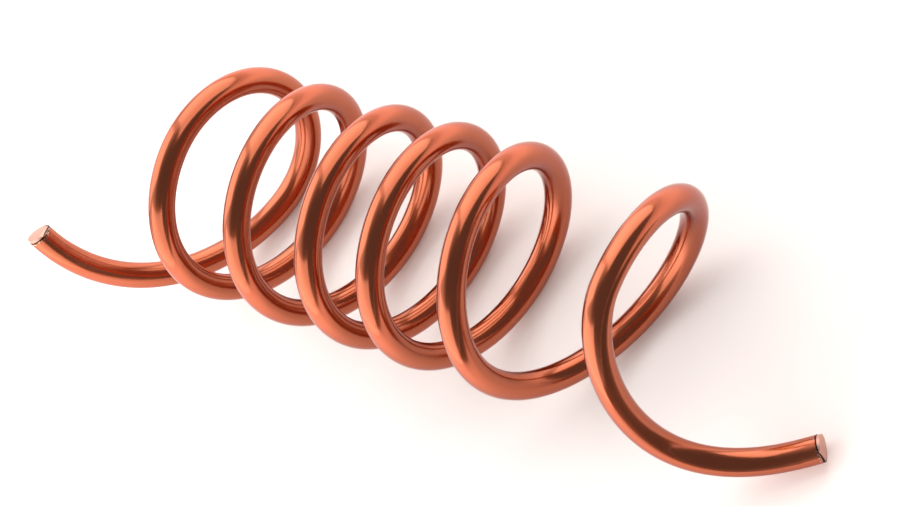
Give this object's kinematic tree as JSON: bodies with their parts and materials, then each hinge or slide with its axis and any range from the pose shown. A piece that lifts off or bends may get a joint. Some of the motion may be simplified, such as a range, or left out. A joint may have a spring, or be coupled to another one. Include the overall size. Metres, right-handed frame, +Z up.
{
  "type": "enamelled copper wire coil",
  "caption": "Open coil of solid enamelled copper winding wire: evenly round loops on one axis, both ends pulled out into curved tails and cut off square.",
  "frame": {"origin": "on the floor under the middle of the coil's box", "axes": "+X along the coil's axis from the back tail to the front tail, +Z up from the floor that the coil lies on"},
  "size_m": [0.0798, 0.0254, 0.0232],
  "materials": {
    "enamelled_copper": "glossy red-brown enamel over drawn copper",
    "bare_copper": "bare sheared copper of the cut faces"
  },
  "bodies": {
    "root": {"wire": "enamelled_copper"}
  },
  "joints": []
}
